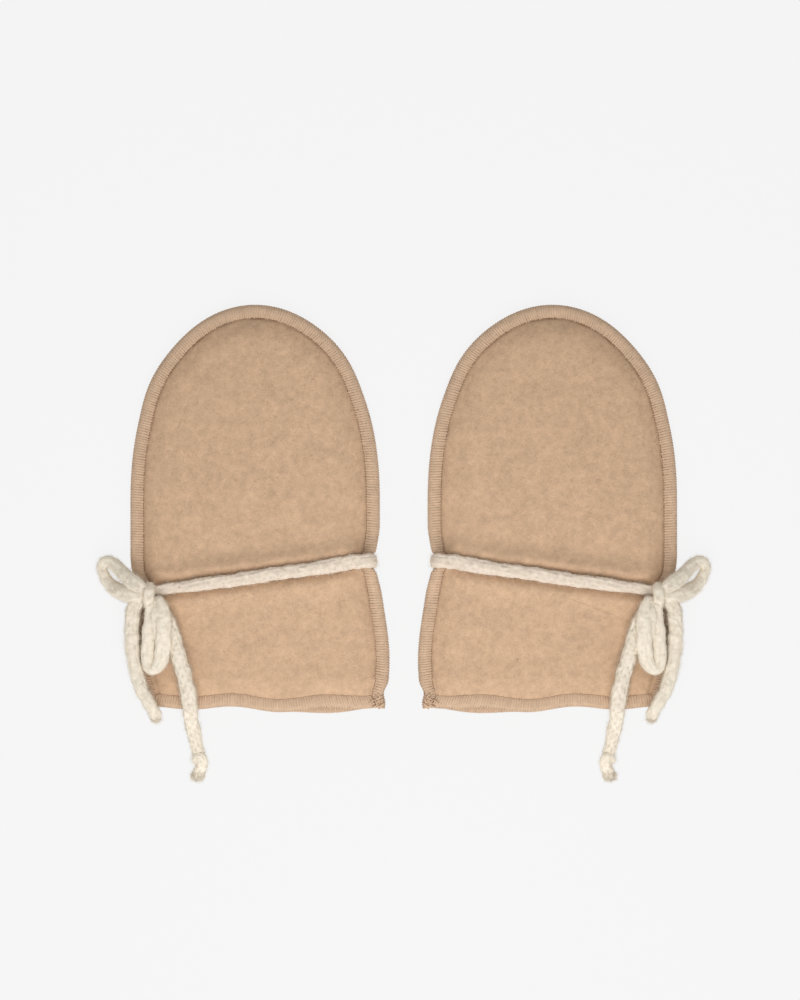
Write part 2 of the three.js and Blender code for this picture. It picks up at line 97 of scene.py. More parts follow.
def lerp(a, b, u):
    return a + (b - a) * u


def clamp01(u):
    return np.clip(u, 0.0, 1.0)


def smooth(u):
    u = clamp01(u)
    return u * u * (3 - 2 * u)


def bump(u):
    """A bump of height 1 at u = 0 that is exactly 0 from |u| = 1 on."""
    return clamp01(1 - u * u) ** 3


def pillow(inset, reach):
    """0 at the seam, rising in a round curve to 1 at reach further in."""
    return 1 - (1 - clamp01((inset - SEAM_WIDTH) / reach)) ** PILLOW_POWER


def unit(v):
    return v / np.maximum(np.linalg.norm(v, axis=-1, keepdims=True), 1e-12)


class Waves:
    """Smooth seeded noise over the plane: values at the corners of a grid, eased in between."""

    def __init__(self, seed, size=256):
        self.grid = np.random.default_rng(seed).uniform(-1, 1, (size, size))

    def __call__(self, x, y, cell):
        u, v = np.asarray(x) / cell + 100, np.asarray(y) / cell + 100
        i, j = np.floor(u).astype(int), np.floor(v).astype(int)
        fu, fv = smooth(u - i), smooth(v - j)
        n = len(self.grid)
        def corner(right, up):
            return self.grid[(i + right) % n, (j + up) % n]

        return lerp(lerp(corner(0, 0), corner(1, 0), fu), lerp(corner(0, 1), corner(1, 1), fu), fv)


# Outline of the cut panel


def half_width(side, y):
    flare = side["flare"] * bump((y - side["flare_at"]) / side["flare_reach"])
    return PALM_HALF + flare - side["corner"] * smooth((CORNER_FROM - y) / CORNER_SPAN)


def side_inset(x, y):
    return np.minimum(x + half_width(BOW, y), half_width(FAR, y) - x)


def hem_line(x, layer):
    fade = 1 - clamp01(np.abs(x) / PALM_HALF) ** 4
    wave = -HEM_WAVE * np.cos(2 * np.pi * (x - HEM_WAVE_LOW_AT) / HEM_WAVE_LENGTH)
    lip = LIP_OUT * bump((x - LIP_AT) / LIP_REACH) if layer == "back" else 0
    sag = HEM_SAG * bump((x - HEM_SAG_AT) / HEM_SAG_REACH)
    return HEM_Y + wave * fade - sag - lip


def edge_point(t):
    """From the wrist corner at the bow (0) up to 1, over the tip to 2, down the far side to 3."""
    y = lerp(HEM_Y, TIP_BASE, np.where(t <= 1, t, 3 - t))
    straight = np.where(t <= 1, -half_width(BOW, y), half_width(FAR, y))
    angle = np.pi * (2 - np.clip(t, 1, 2))
    across, up = np.cos(angle), TIP_BASE + TIP_RISE * np.abs(np.sin(angle)) ** (2 / TIP_UP)
    around = PALM_HALF * np.sign(across) * np.abs(across) ** (2 / TIP_ACROSS)
    for side, here in ((BOW, across < 0), (FAR, across >= 0)):
        shoulder = side["shoulder"] * bump((up - side["shoulder_at"]) / SHOULDER_REACH)
        around = around + here * side["sign"] * shoulder
    tip = (t > 1) & (t < 2)
    return np.stack([np.where(tip, around, straight), np.where(tip, up, y)], -1)


def edge_walk(step):
    """Points of the edge spaced evenly along it, as values of t."""
    t = np.linspace(0, 3, 6001)
    p = edge_point(t)
    along = np.concatenate([[0], np.cumsum(np.linalg.norm(np.diff(p, axis=0), axis=1))])
    count = int(round(along[-1] / step)) + 1
    return np.interp(np.linspace(0, along[-1], count), along, t)


def inward_at(t):
    along = unit(edge_point(np.minimum(3, t + 1e-3)) - edge_point(np.maximum(0, t - 1e-3)))
    return np.stack([along[:, 1], -along[:, 0]], -1)


# Where the cloth lies

CORD_SLOPE = (FAR["cord"] - BOW["cord"]) / (half_width(FAR, FAR["cord"]) + half_width(BOW, BOW["cord"]))
CORD_MIDDLE_Y = BOW["cord"] + CORD_SLOPE * half_width(BOW, BOW["cord"])
CORD_ACROSS = unit(np.array([-CORD_SLOPE, 1.0, 0.0]))
undulation = Waves(3)


def drawn_in(x, y):
    """x after the cord, the knot and the short tail have pulled the edges in."""
    amount = 0
    for side, here in ((BOW, x < 0), (FAR, x >= 0)):
        notch = side["notch"] * bump((y - side["notch_at"]) / side["notch_reach"])
        pull = side["pinch"] * bump((y - side["cord"]) / PINCH_REACH) + notch
        amount = amount + np.where(here, side["sign"] * pull, 0)
    near_knot = bump(np.hypot((x - KNOT_PULL_X) / KNOT_PULL_REACH[0], (y - KNOT_PULL_Y) / KNOT_PULL_REACH[1]))
    x = x - amount * (np.abs(x) / PALM_HALF) ** PULL_POWER + KNOT_PULL * near_knot
    notch = TAIL_NOTCH * bump((y - TAIL_NOTCH_AT) / TAIL_NOTCH_REACH)
    return x - np.where(x > 0, notch, 0) * (np.abs(x) / PALM_HALF) ** EDGE_POWER


def puckers(x, y):
    """Small folds that fan out over the cloth from where the cord pulls each edge in."""
    total = 0
    for side in (BOW, FAR):
        dx = (x - side["sign"] * PUCKER_AT) * -side["sign"]
        dy = y - side["cord"]
        away, angle = np.hypot(dx, dy), np.arctan2(dy, dx)
        fan = np.cos(side["folds"] * angle + side["fold_turn"])
        total = total + PUCKER_HIGH * fan * np.exp(-away / PUCKER_FADE) * smooth(away / PUCKER_START)
    return total


def relief(x, y):
    """Soft unevenness of the outer faces, away from the seams."""
    total = 0
    for layer in WAVE_LAYERS:
        right, up = layer["shift"]
        total = total + layer["high"] * undulation(x + right, y + up, layer["size"])
    return total + puckers(x, y)


def faces_at(x, y, side, hem, uneven=True):
    """Drawn-in x, y and the heights of the four cloth faces at flat places.

    side and hem are the insets from the sides and from the wrist edge.
    """
    x = drawn_in(x, y)
    from_cord = (y - CORD_MIDDLE_Y - CORD_SLOPE * x) / math.hypot(1, CORD_SLOPE)
    press = bump(from_cord / CORD_PRESS_REACH)
    full = pillow(side, FULL_FROM_SIDE) * pillow(hem, FULL_FROM_HEM)
    wall = lerp(EDGE_WALL, WALL, full)
    groove = GROOVE_DEPTH * bump((side - SEAM_WIDTH) / GROOVE_REACH)
    thick = lerp(wall, np.minimum(wall, PRESSED_WALL), press)
    in_palm = smooth((hem - SEAM_WIDTH) / GAP_REACH)
    air = lerp(WRIST_GAP - GAP, (PALM_GAP - GAP) * pillow(side, GAP_REACH), in_palm)
    gape = LIP_LIFT * bump((x - LIP_AT) / LIP_REACH) * bump(hem / LIP_DEPTH)
    rim = CLOTH_EDGE * (1 - pillow(side, EDGE_REACH) * pillow(hem, EDGE_REACH))
    lift = CORD_LIFT * bump(from_cord / CORD_LIFT_REACH)
    back_under = rim + lift + 0.5 * groove
    back_over = rim + lift + thick - WAVE_ROOM
    front_under = back_over + GAP + air * (1 - press) + gape
    front_over = front_under + thick - WAVE_ROOM * full
    if uneven:
        calm = full * (1 - press)
        front_over = front_over + (relief(x, y) + WAVE_ROOM) * calm - groove
        back_under = back_under + np.maximum(relief(-x, y), 0) * calm * UNDERSIDE_SHARE
        front_under = np.minimum(front_under, front_over - LEAST_WALL)
    heights = dict(back_under=back_under, back_over=back_over, front_under=front_under, front_over=front_over)
    return dict(x=x, y=y, **heights)


def flat_place(t, inset, layer="front"):
    p = edge_point(t) + inward_at(t) * np.reshape(inset, (-1, 1))
    x, y = p[:, 0], p[:, 1]
    return x, y, inset + 0 * x, y - hem_line(x, layer)


# Meshes


def ring_triangles(rings, count, closed=True):
    """Triangles between rings of count points each."""
    i = np.arange(count if closed else count - 1)
    j = (i + 1) % count
    r = np.arange(rings - 1)[:, None] * count
    a, b, c, d = r + i, r + j, r + count + j, r + count + i
    return np.concatenate([np.stack([a, b, c], -1).reshape(-1, 3), np.stack([a, c, d], -1).reshape(-1, 3)])


def zip_triangles(count):
    """Closes a ring by joining its points in pairs across it."""
    i = np.arange(count // 2 - 1)
    a, b, c, d = count - 1 - i, count - 2 - i, i + 1, i
    return np.concatenate([np.stack([a, b, c], -1), np.stack([a, c, d], -1)])


def facing_out(points, triangles):
    a, b, c = (points[triangles[:, k]] for k in range(3))
    if np.einsum("ij,ij->i", a, np.cross(b, c)).sum() < 0:
        return triangles[:, ::-1]
    return triangles


def loft(rings):
    """A closed solid through rings (rings, points, 3), its ends zipped across."""
    count = rings.shape[1]
    ends = zip_triangles(count)
    last = (len(rings) - 1) * count
    triangles = np.concatenate([ring_triangles(len(rings), count), ends, last + ends[:, ::-1]])
    points = rings.reshape(-1, 3)
    return points, facing_out(points, triangles)


def tubes(paths, across, wide, thick, sides):
    """Many closed tubes at once. paths and across are (tubes, points, 3), wide and thick half sizes."""
    many, stops = paths.shape[:2]
    along = unit(np.gradient(paths, axis=1))
    up = unit(np.cross(along, across))
    angle = 2 * np.pi * (np.arange(sides) + 0.5) / sides
    ring = (
        paths[:, :, None]
        + across[:, :, None] * (wide[..., None] * np.cos(angle))[..., None]
        + up[:, :, None] * (thick[..., None] * np.sin(angle))[..., None]
    )
    one = ring_triangles(stops, sides)
    fan = np.stack([np.zeros(sides - 2, int), np.arange(1, sides - 1), np.arange(2, sides)], -1)
    one = np.concatenate([one, fan[:, ::-1], fan + (stops - 1) * sides])
    points = ring.reshape(-1, 3)
    first = facing_out(points[: stops * sides], one)
    triangles = (first[None] + (np.arange(many) * stops * sides)[:, None, None]).reshape(-1, 3)
    return points, triangles


def joined(*parts):
    points, triangles, shift = [], [], 0
    for p, t in parts:
        points.append(p)
        triangles.append(t + shift)
        shift += len(p)
    return np.concatenate(points), np.concatenate(triangles)


def scatter(points, triangles, count, rng):
    """Seeded places on a surface: positions and normals."""
    a, b, c = (points[triangles[:, k]] for k in range(3))
    normal = np.cross(b - a, c - a)
    area = np.linalg.norm(normal, axis=1)
    pick = rng.choice(len(area), count, p=area / area.sum())
    u, v = rng.random((2, count, 1))
    u, v = np.where(u + v > 1, 1 - u, u), np.where(u + v > 1, 1 - v, v)
    return a[pick] + u * (b[pick] - a[pick]) + v * (c[pick] - a[pick]), unit(normal[pick])


# Where a fibre starts below the surface, how far it bends, and its middle and end as shares
FIBRE_ROOT, FIBRE_BEND, FIBRE_MIDDLE, FIBRE_DROOP = 0.06, 0.25, 0.45, 0.8


def fibres(base, normal, direction, length, thick, lift, rng):
    """Bent fibres as closed three-sided spindles that start just inside the surface."""
    many = len(base)
    bend = rng.uniform(-FIBRE_BEND, FIBRE_BEND, (many, 1)) * length[:, None] * np.cross(normal, direction)
    start = base - normal * FIBRE_ROOT
    middle = base + direction * (FIBRE_MIDDLE * length)[:, None] + bend + normal * lift[:, None]
    end = base + direction * length[:, None] + normal * (FIBRE_DROOP * lift)[:, None]
    side = unit(np.cross(direction, normal))
    angle = 2 * np.pi * np.arange(3) / 3
    out = side[:, None] * np.cos(angle)[:, None] + normal[:, None] * np.sin(angle)[:, None]
    ring = middle[:, None] + thick[:, None, None] * out
    points = np.concatenate([start[:, None], ring, end[:, None]], 1)
    one = []
    for i in range(3):
        j = (i + 1) % 3
        one += [(0, 1 + j, 1 + i), (1 + i, 1 + j, 4)]
    one = facing_out(points[0] - points[0].mean(0), np.array(one))
    return points.reshape(-1, 3), (one[None] + (np.arange(many) * 5)[:, None, None]).reshape(-1, 3)


def flat_fibres(points, triangles, count, seed, length, thick, lift, lean=(0, 0, 0)):
    """Fibres that lie nearly flat on a surface. lean turns most of them one way."""
    rng = np.random.default_rng(seed)
    base, normal = scatter(points, triangles, count, rng)
    loose = rng.normal(size=(count, 3)) + np.asarray(lean)
    direction = unit(loose - normal * np.einsum("ij,ij->i", loose, normal)[:, None])
    size = rng.uniform(*length, count)
    high = rng.uniform(*lift, count) * rng.uniform(0.4, 1.0, count)
    return fibres(base, normal, direction, size, thick * rng.uniform(0.7, 1.2, count), high, rng)


def above_surface(shape, least):
    """The shape with no point lower than least."""
    shape[0][:, 2] = np.maximum(shape[0][:, 2], least)
    return shape


def add(name, shape, material, shade=None, replaces=()):
    points, triangles = shape
    row = points * MM + np.array([-PAIR_SPACING / 2 * MM, 0, 0])
    for hand, flip in (("left", 1), ("right", -1)):
        mesh = bpy.data.meshes.new(f"{hand}_{name}")
        co = row * np.array([flip, 1, 1])
        tri = triangles if flip == 1 else triangles[:, ::-1]
        mesh.vertices.add(len(co))
        mesh.vertices.foreach_set("co", co.astype(np.float32).ravel())
        mesh.loops.add(tri.size)
        mesh.loops.foreach_set("vertex_index", np.ascontiguousarray(tri, np.int32).ravel())
        mesh.polygons.add(len(tri))
        mesh.polygons.foreach_set("loop_start", np.arange(0, tri.size, 3, dtype=np.int32))
        mesh.update(calc_edges=True)
        mesh.polygons.foreach_set("use_smooth", np.ones(len(tri), bool))
        if shade is not None:
            layer = mesh.attributes.new("shade", "FLOAT", "POINT")
            layer.data.foreach_set("value", np.asarray(shade, np.float32))
        mesh.materials.append(material)
        made_object = bpy.data.objects.new(f"{hand}_{name}_look", mesh)
        bpy.context.scene.collection.objects.link(made_object)
        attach(made_object, "root")
        if replaces:
            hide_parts(*(f"{hand}_{node}" for node in replaces))


# Materials


def new_material(name):
    material = bpy.data.materials.new(name)
    material.use_nodes = True
    tree = material.node_tree
    return material, tree, tree.nodes["Principled BSDF"]


def noise(tree, scale, detail=3.0, rough=0.55, stretch=None, turn=0.0):
    where = tree.nodes.new("ShaderNodeTexCoord")
    node = tree.nodes.new("ShaderNodeTexNoise")
    node.inputs["Scale"].default_value = scale
    node.inputs["Detail"].default_value = detail
    node.inputs["Roughness"].default_value = rough
    source = where.outputs["Object"]
    if stretch:
        mapping = tree.nodes.new("ShaderNodeMapping")
        mapping.inputs["Scale"].default_value = stretch
        mapping.inputs["Rotation"].default_value = (0, 0, turn)
        tree.links.new(source, mapping.inputs["Vector"])
        source = mapping.outputs["Vector"]
    tree.links.new(source, node.inputs["Vector"])
    return node.outputs[0]


def math_node(tree, kind, a, b):
    node = tree.nodes.new("ShaderNodeMath")
    node.operation = kind
    for socket, value in zip(node.inputs, (a, b)):
        if isinstance(value, (int, float)):
            socket.default_value = value
        else:
            tree.links.new(value, socket)
    return node.outputs[0]


def ramp(tree, source, stops):
    node = tree.nodes.new("ShaderNodeValToRGB")
    items = node.color_ramp.elements
    while len(items) < len(stops):
        items.new(0.5)
    for item, (at, colour) in zip(items, stops):
        item.position = at
        item.color = (*colour, 1)
    tree.links.new(source, node.inputs[0])
    return node.outputs[0]


def bumped(tree, shader, parts):
    """Chains bump nodes: each part is (height, strength, distance in metres)."""
    normal = None
    for height, strength, distance in parts:
        node = tree.nodes.new("ShaderNodeBump")
        node.inputs["Strength"].default_value = strength
        node.inputs["Distance"].default_value = distance
        tree.links.new(height, node.inputs["Height"])
        if normal is not None:
            tree.links.new(normal, node.inputs["Normal"])
        normal = node.outputs[0]
    tree.links.new(normal, shader.inputs["Normal"])


def linear(*rgb):
    return tuple(c / 12.92 if c <= 0.04045 else ((c + 0.055) / 1.055) ** 2.4 for c in (v / 255 for v in rgb))


def scaled(colour, factor):
    return tuple(c * factor for c in colour)


# Shares of the four noises in a wool's mottling, and how far a full painted shade goes down the ramp
BROAD_SHARE, BLOTCH_SHARE, FIBRE_SHARE, FINE_SHARE, SHADE_SHARE = 0.15, 0.32, 0.34, 0.19, 0.2
MOTTLE_SPREAD = 0.28


def woolly(name, base, shadow=None, vary=1.0, grain=1.0, relief_size=1.0, sheen=0.12):
    """A wool material, mottled round its base colour.

    shadow is what its colour is multiplied by where the shade attribute is high, which paints shade into the
    colour.
    """
    material, tree, shader = new_material(name)
    broad = noise(tree, 150 / grain, 2, 0.5)
    blotches = noise(tree, 420 / grain, 3, 0.6)
    strokes = noise(tree, 900 / grain, 2, 0.6, (1, 3.0, 1), 0.7)
    strokes_across = noise(tree, 900 / grain, 2, 0.6, (3.0, 1, 1), 0.5)
    fine = noise(tree, 2600 / grain, 2, 0.6)
    fibre = math_node(tree, "MULTIPLY", math_node(tree, "ADD", strokes, strokes_across), 0.5)
    mix = math_node(tree, "MULTIPLY", broad, BROAD_SHARE)
    for part, share in ((blotches, BLOTCH_SHARE), (fibre, FIBRE_SHARE), (fine, FINE_SHARE)):
        mix = math_node(tree, "ADD", mix, math_node(tree, "MULTIPLY", part, share))
    spread = MOTTLE_SPREAD * vary
    dark = scaled(base, 1 - 1.6 * spread)
    if shadow:
        dark = tuple(c * f for c, f in zip(base, shadow))
        attribute = tree.nodes.new("ShaderNodeAttribute")
        attribute.attribute_name = "shade"
        shade = math_node(tree, "MULTIPLY", attribute.outputs["Fac"], SHADE_SHARE)
        mix = math_node(tree, "SUBTRACT", mix, shade)
    stops = [(0.24, dark), (0.36, scaled(base, 1 - spread)), (0.5, base), (0.64, scaled(base, 1 + spread))]
    tree.links.new(ramp(tree, mix, stops), shader.inputs["Base Color"])
    shader.inputs["Roughness"].default_value = 0.95
    shader.inputs["Specular IOR Level"].default_value = 0.1
    shader.inputs["Sheen Weight"].default_value = sheen
    shader.inputs["Sheen Roughness"].default_value = 0.6
    shader.inputs["Sheen Tint"].default_value = (*base, 1)
    coarse_bump = (blotches, 0.3, 0.0003 * relief_size)
    fibre_bump = (fibre, 0.4, 0.00016 * relief_size)
    fine_bump = (fine, 0.3, 0.00006 * relief_size)
    bumped(tree, shader, [coarse_bump, fibre_bump, fine_bump])
    return material


FLEECE_COLOUR = linear(198, 166, 136)
THREAD_COLOUR = linear(201, 172, 145)
CORD_COLOUR = linear(233, 223, 206)
# The band's colour is the cord's, painted darker and warmer: painted shade and painted bounce light from the
# cloth it lies on.
SHADED_BAND_COLOUR = linear(230, 215, 198)
KNIT_LOOK = dict(vary=0.4, grain=0.8, relief_size=0.5, sheen=0.35)
# The fleece's shadow colour is the reddish-brown of the painted shade in the side groove and above the cord.
fleece = woolly("wool_fleece", FLEECE_COLOUR, (0.66, 0.56, 0.48), vary=0.75)
nap = woolly("fleece_nap", scaled(FLEECE_COLOUR, 1.04), vary=0.6)
# Its shadow colour is blue-grey painted shade, used most in the gaps between stitches at the very edge and at
# the stitches' ends.
overlock = woolly("overlock_thread", THREAD_COLOUR, (0.42, 0.42, 0.46), vary=0.6, grain=0.7, relief_size=0.4)
# Its shadow colour is the warm painted shade in the cord's valleys, holes and row grooves.
knit = woolly("knitted_cord", CORD_COLOUR, (0.74, 0.66, 0.55), **KNIT_LOOK)
# The band's material: the cord wool with painted shade and painted bounce light from the cloth.
shaded_band_knit = woolly("band_cord_painted_shade", SHADED_BAND_COLOUR, (0.72, 0.62, 0.5), **KNIT_LOOK)
knit_fuzz = woolly("cord_fuzz", scaled(CORD_COLOUR, 1.05), vary=0.3, sheen=0.3)


# Panels

EDGE_STEP = 0.95
PANEL_T = edge_walk(EDGE_STEP)
HEM_POINTS = 99
HEM_SHARE = (np.arange(HEM_POINTS) + 1) / (HEM_POINTS + 1)
TURN_BELOW = -20.0

# The line down the middle of a panel that its rings close in on
SPINE_TOP, SPINE_BOTTOM, SPINE_SAG, SPINE_SAG_REACH = 30.0, -34.0, 9.0, 36.0
SPINE_ENDS = 20.0

# Rings of the outer and inner face by their inset from the edge, then by their share of the way in
OUTER_INSETS = [2.2, 3.0, 3.4, 3.7, 3.95, 4.2, 4.45, 4.7, 5.0, 5.4, 5.9, 6.5, 7.2, 8, 9]
OUTER_INSETS += [10.2, 11.5, 13, 14.6, 16.3, 18, 20]
OUTER_TOWARDS = [0.06, 0.12, 0.19, 0.26, 0.34, 0.42, 0.5, 0.58, 0.66, 0.74, 0.82, 0.9, 0.965]
INNER_INSETS = [CLOTH_EDGE, 2.5, 4.3, 6, 8, 11, 15, 20]
INNER_TOWARDS = [0.3, 0.6, 0.965]
LAST_INSET = 20
RINGS_WITHOUT_NAP = 8

# Painted shade on the cloth: uneven patches of painted shadow along the side groove, and a soft band of
# painted shade above the cord
GROOVE_SHADOW_SIZE, GROOVE_SHADOW_TIP_FROM, GROOVE_SHADOW_TIP_SPAN, GROOVE_SHADOW_FAR_SHARE, GROOVE_SHADOW_FAR_SPAN = 3.0, 30, 30, 0.6, 20
GROOVE_SHADE_IN, GROOVE_SHADE_REACH = 0.2, 0.85
ABOVE_CORD_SHADE, ABOVE_CORD_AT, ABOVE_CORD_REACH = 0.22, 5.5, 4.5


def panel_ring(inset, layer, towards=0.0):
    """x, y and both insets of one ring of a panel, moved by towards from the inset to the spine."""
    x, y, side, hem = flat_place(PANEL_T, inset, layer)
    rise = inset * clamp01((TURN_BELOW - y) / (TURN_BELOW - HEM_Y))
    y, hem = y + rise, hem + rise
    hem_x = lerp(x[-1], x[0], HEM_SHARE)
    hem_y = hem_line(hem_x, layer) + inset
    x, y = np.concatenate([x, hem_x]), np.concatenate([y, hem_y])
    side = np.concatenate([side, side_inset(hem_x, hem_y)])
    hem = np.concatenate([hem, inset + 0 * hem_x])
    up_the_panel = (y - HEM_Y - SPINE_ENDS) / (TIP_BASE + TIP_RISE - HEM_Y - 2 * SPINE_ENDS)
    spine = lerp(SPINE_BOTTOM, SPINE_TOP, clamp01(up_the_panel))
    sag = np.where(hem < side, SPINE_SAG * (1 - clamp01(np.abs(x) / SPINE_SAG_REACH) ** 2), 0)
    side, hem = side + np.abs(x) * towards, hem + (spine - y) * towards
    x, y = lerp(x, 0, towards), lerp(y, spine, towards) - sag * towards
    return [np.roll(v, HEM_POINTS // 2) for v in (x, y, side, hem)]


def cloth_shade(x, y, side, hem):
    """The painted shade of the cloth: uneven patches of painted shadow in the side groove, stronger towards
    the tip and weaker on the far side, and a soft band of painted shade above the cord.
    """
    groove_shadow = 0.7 + 0.6 * undulation(x, y, GROOVE_SHADOW_SIZE)
    groove_shadow = groove_shadow * lerp(0.75, 1.5, smooth((y - GROOVE_SHADOW_TIP_FROM) / GROOVE_SHADOW_TIP_SPAN))
    groove_shadow = groove_shadow * np.where(hem < side, 0.0, 1.0) * lerp(1.0, GROOVE_SHADOW_FAR_SHARE, smooth(x / GROOVE_SHADOW_FAR_SPAN))
    groove = bump((np.minimum(side, hem) - SEAM_WIDTH - GROOVE_SHADE_IN) / GROOVE_SHADE_REACH)
    above_cord = y - CORD_MIDDLE_Y - CORD_SLOPE * x
    return groove_shadow * groove + ABOVE_CORD_SHADE * bump((above_cord - ABOVE_CORD_AT) / ABOVE_CORD_REACH)


def panel(layer):
    """One panel as a closed shape, its shade, and the triangles that carry nap."""
    inner, outer = ("back_over", "back_under") if layer == "back" else ("front_under", "front_over")
    rings, shade = [], []

    def ring(inset, out, part=0.0):
        """One ring. out is 1 on the outer face and 0 on the inner one."""
        x, y, side, hem = panel_ring(inset, layer, part)
        faces = faces_at(x, y, side, hem)
        height = faces[outer] if out == 1 else lerp(faces[inner], faces[outer], out)
        rings.append(np.stack([faces["x"], faces["y"], height], -1))
        shade.append(cloth_shade(x, y, side, hem))

    for part in reversed(OUTER_TOWARDS):
        ring(LAST_INSET, 1, part)
    for inset in reversed(OUTER_INSETS):
        ring(inset, 1)
    for inset, out in ((1.5, 0.93), (CLOTH_EDGE, 0.6)):
        ring(inset, out)
    for inset in INNER_INSETS:
        ring(inset, 0)
    for part in INNER_TOWARDS:
        ring(LAST_INSET, 0, part)
    shape = loft(np.array(rings))
    napped_rings = len(OUTER_TOWARDS) + len(OUTER_INSETS) - RINGS_WITHOUT_NAP
    napped = shape[1][(shape[1] < napped_rings * len(rings[0])).all(1)]
    return shape, np.concatenate(shade), napped


NAP = dict(length=(0.6, 1.6), thick=0.022, lift=(0.02, 0.10))
LEAST_HEIGHT = 0.02
for layer, nap_count, nap_seed in (("back", 2500, 4), ("front", 7000, 5)):
    shape, shade, napped = panel(layer)
    add(f"{layer}_panel", shape, fleece, shade, [f"{layer}_panel"])
    fuzz = flat_fibres(shape[0], napped, nap_count, nap_seed, **NAP)
    add(f"{layer}_nap", above_surface(fuzz, LEAST_HEIGHT), nap)


# Overlock

STITCH_PITCH = 0.84
STITCH_STOPS, STITCH_SIDES = 15, 6
STITCH_SLANT, STITCH_STRAY, STITCH_RAGGED = 0.5, 0.05, 0.2
STITCH_SIZE = dict(wide_at_edge=0.33, wide_on_top=0.46, thick_at_edge=0.26, thick_on_top=0.11, ends=0.6)
STITCH_UNEVEN, STITCH_TINT, STITCH_TINT_SPREAD = (0.94, 1.05), 0.03, 0.05
ON_TOP_FROM_EDGE, SHADED_ENDS_FROM, SHADED_ENDS_SPAN = 2.6, 0.68, 0.25
BODY_SHRINK = np.array([0.97, 0.97, 0.98])
# Painted shade of the thread body: a little all over, a painted shadow in the gaps at the very edge, and a
# little on its inner face
BODY_SHADE, BODY_EDGE_SHADES, BODY_INNER_SHADE = 0.05, [0.25, 1.0, 1.0, 0.25], 0.1


def overlock_line(place_at, below, above, outer):
    """The points across one section of an overlock, from the needle line above to the one below."""
    rows = []
    for face, thread, rounded, up in (above, below):
        bend, edge = GAP - 0.3 * rounded, GAP - 0.2 - rounded
        line = [(4.0, GAP - 0.1), (2.4, GAP), (1.1, bend), (THREAD, edge)]
        if outer:
            line = [
                (4.45, -0.12),
                (3.7, 0.8 * GAP),
                (2.5, GAP + 0.8 * thread),
                (1.0, bend + 0.9 * thread),
                (0.15, edge + 0.1),
            ]
        half = []
        for inset, out in line:
            faces = faces_at(*place_at(inset), uneven=False)
            half.append(np.stack([faces["x"], faces["y"], faces[face] + up * out], -1))
        rows.append(half)
    return np.stack(rows[0] + rows[1][::-1], 1)


def overlock_body(outer_line, inner_line):
    """The thin body of thread behind the stitches, and its painted shade, with a painted shadow in the gaps
    at the very edge.
    """
    centre = outer_line.mean(1, keepdims=True)
    body = centre + (outer_line - centre) * BODY_SHRINK
    plain = BODY_SHADE * np.ones(outer_line.shape[1] // 2 - 2)
    inside = BODY_INNER_SHADE * np.ones(inner_line.shape[1])
    across = np.concatenate([plain, BODY_EDGE_SHADES, plain, inside])
    return loft(np.concatenate([body, inner_line[:, ::-1]], 1)), np.tile(across, len(outer_line))


def stitches(place_at, below, above, seed, painted_end_shade):
    """Thread that goes over the edge again and again, on a thin body of thread that fills the gaps."""
    rng = np.random.default_rng(seed)
    base = overlock_line(place_at, below, above, True)
    body_shape, body_shade = overlock_body(base, overlock_line(place_at, below, above, False))
    many = len(base)
    steps = np.linspace(0, base.shape[1] - 1, STITCH_STOPS)
    share = np.linspace(-1, 1, STITCH_STOPS)
    from_middle = np.abs(share)
    low = np.clip(np.floor(steps).astype(int), 0, base.shape[1] - 2)
    path = lerp(base[:, low], base[:, low + 1], (steps - low)[None, :, None])
    softened = path.copy()
    softened[:, 1:-1] = 0.5 * path[:, 1:-1] + 0.25 * (path[:, :-2] + path[:, 2:])
    across = np.repeat(unit(np.gradient(base[:, 3], axis=0))[:, None], STITCH_STOPS, 1)
    lean = STITCH_SLANT * STITCH_PITCH * share + rng.normal(0, STITCH_STRAY, (many, 1))
    softened = softened + across * lean[..., None]
    inward = unit(base[:, 1] - base[:, 4])
    ragged = rng.uniform(-STITCH_RAGGED, STITCH_RAGGED, (many, 1, 1)) * from_middle[None, :, None] ** 6
    softened = softened + inward[:, None] * ragged
    on_top = smooth(from_middle * ON_TOP_FROM_EDGE)
    size = STITCH_SIZE
    wide = rng.uniform(*STITCH_UNEVEN, (many, 1)) * lerp(size["wide_at_edge"], size["wide_on_top"], on_top)
    wide[:, [0, -1]] *= size["ends"]
    thick = lerp(size["thick_at_edge"], size["thick_on_top"], on_top) * np.ones_like(wide)
    thread = tubes(softened, across, wide, thick, STITCH_SIDES)
    shape = above_surface(joined(body_shape, thread), 0.0)
    # Each thread gets a random tone, and painted shade towards its ends, where it sinks into the cloth at the
    # needle line.
    ends = smooth((from_middle - SHADED_ENDS_FROM) / SHADED_ENDS_SPAN)[None, :, None]
    tint = rng.normal(STITCH_TINT, STITCH_TINT_SPREAD, (many, 1, 1)) + painted_end_shade * ends
    tint = tint * np.ones((many, 1, STITCH_SIDES))
    return shape, np.concatenate([body_shade, tint.ravel()])


ROUNDED = 0.4 * EDGE_WALL
SIDE_T = edge_walk(STITCH_PITCH)
side_shape, side_shade = stitches(
    lambda inset: flat_place(SIDE_T, inset),
    ("back_under", THREAD, ROUNDED, -1),
    ("front_over", THREAD, ROUNDED, 1),
    seed=21,
    painted_end_shade=0.2,
)
add("side_overlock", side_shape, overlock, side_shade, ["side_overlock"])

HEM_STITCHES, HEM_END_SLANT = 85, 3.0
HEM_THREAD_OUT, HEM_THREAD_IN = 0.2, 0.25


def along_hem(layer):
    """The places at an inset from a panel's wrist edge, one for each stitch."""

    def place_at(inset):
        ends = [flat_place(np.array([t]), inset, layer)[0][0] for t in (0.0, 3.0)]
        slant = HEM_END_SLANT * (1 - inset / SEAM_WIDTH)
        x = np.linspace(ends[0] + slant, ends[1] - slant, HEM_STITCHES)
        y = hem_line(x, layer) + inset
        return x, y, side_inset(x, y), inset + 0 * x

    return place_at


